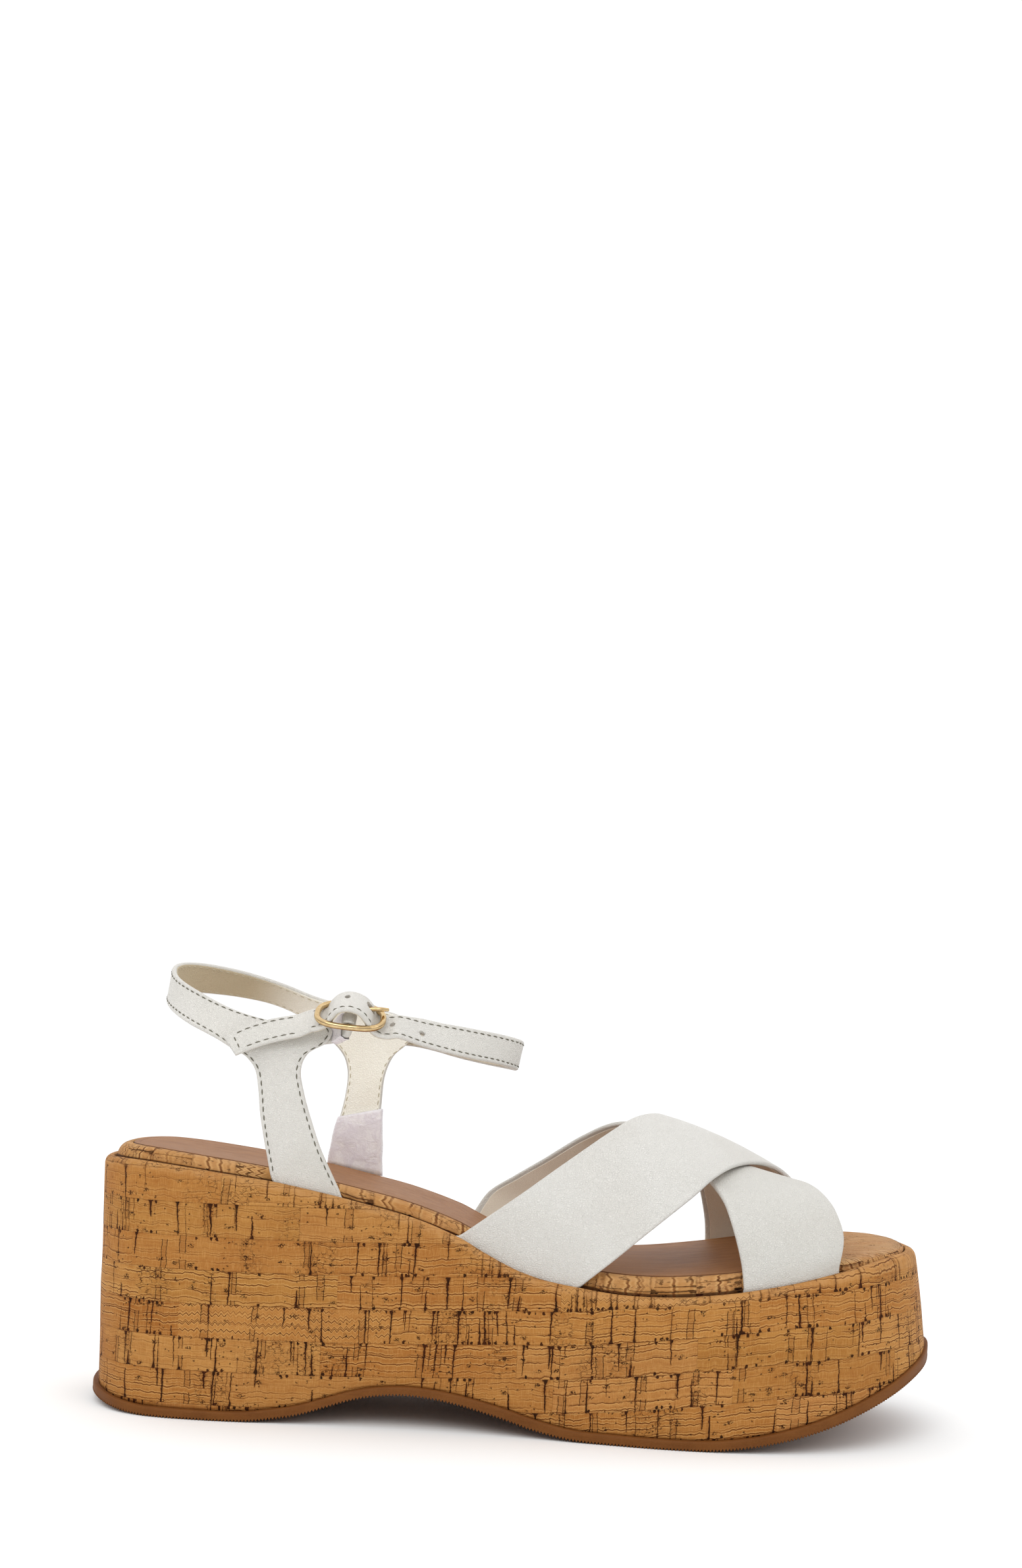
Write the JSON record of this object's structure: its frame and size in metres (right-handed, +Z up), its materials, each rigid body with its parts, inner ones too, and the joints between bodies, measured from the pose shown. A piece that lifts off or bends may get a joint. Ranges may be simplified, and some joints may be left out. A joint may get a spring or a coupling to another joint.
{
  "type": "wedge sandal",
  "caption": "Right platform wedge sandal with a cork-wrapped sole, crossed vamp straps and a buckled ankle strap on two risers.",
  "frame": {"origin": "centre of the bounding box at floor level, under the middle of the outsole", "axes": "+X toward the toe, +Y toward the inner (big toe) side, +Z up"},
  "size_m": [0.2512, 0.0937, 0.131],
  "materials": {
    "rubber_brown": "satin",
    "eva_foam": "matte",
    "cork_veneer": "matte",
    "cork_filler": "matte",
    "fibre_board": "matte",
    "foam_cushion": "matte",
    "sock_leatherette": "satin",
    "white_leather": "satin",
    "beige_lining": "matte",
    "film": "gloss",
    "light_gold": "polished"
  },
  "bodies": {
    "shoe": {"outsole": "rubber_brown", "wedge_core": "eva_foam", "cork_side_wrap": "cork_veneer", "bottom_filler": "cork_filler", "insole_board": "fibre_board", "footbed_cushion": "foam_cushion", "footbed_cork_rand": "cork_veneer", "sock_lining": "sock_leatherette", "vamp_over_outer": "white_leather", "vamp_over_lining": "beige_lining", "vamp_under_outer": "white_leather", "vamp_under_lining": "beige_lining", "quarter_outer": "white_leather", "quarter_lining": "beige_lining", "riser_film": "film", "ankle_strap_outer": "white_leather", "ankle_strap_lining": "beige_lining", "buckle_tab": "white_leather", "buckle_film": "film"},
    "buckle_frame": {"buckle_frame": "light_gold"},
    "buckle_prong": {"buckle_prong": "light_gold"},
    "strap_tail": {"strap_tail_outer": "white_leather", "strap_tail_lining": "beige_lining"}
  },
  "joints": [
    {"name": "buckle_rock", "type": "hinge", "parent": "shoe", "child": "buckle_frame", "pos_m": [-0.051, -0.0384, 0.1169], "axis": [0.0482, 0.7242, 0.6879], "range_deg": [0, 3]},
    {"name": "prong_hinge", "type": "hinge", "parent": "buckle_frame", "child": "buckle_prong", "pos_m": [-0.051, -0.0384, 0.1169], "axis": [-0.0482, -0.7242, -0.6879], "range_deg": [0, 10]},
    {"name": "tail_bend", "type": "hinge", "parent": "shoe", "child": "strap_tail", "pos_m": [-0.06351, -0.03459, 0.11435], "axis": [-0.1435, 0.6938, 0.7057], "range_deg": [0, 35], "stiffness_Nm_per_rad": 0.004}
  ]
}
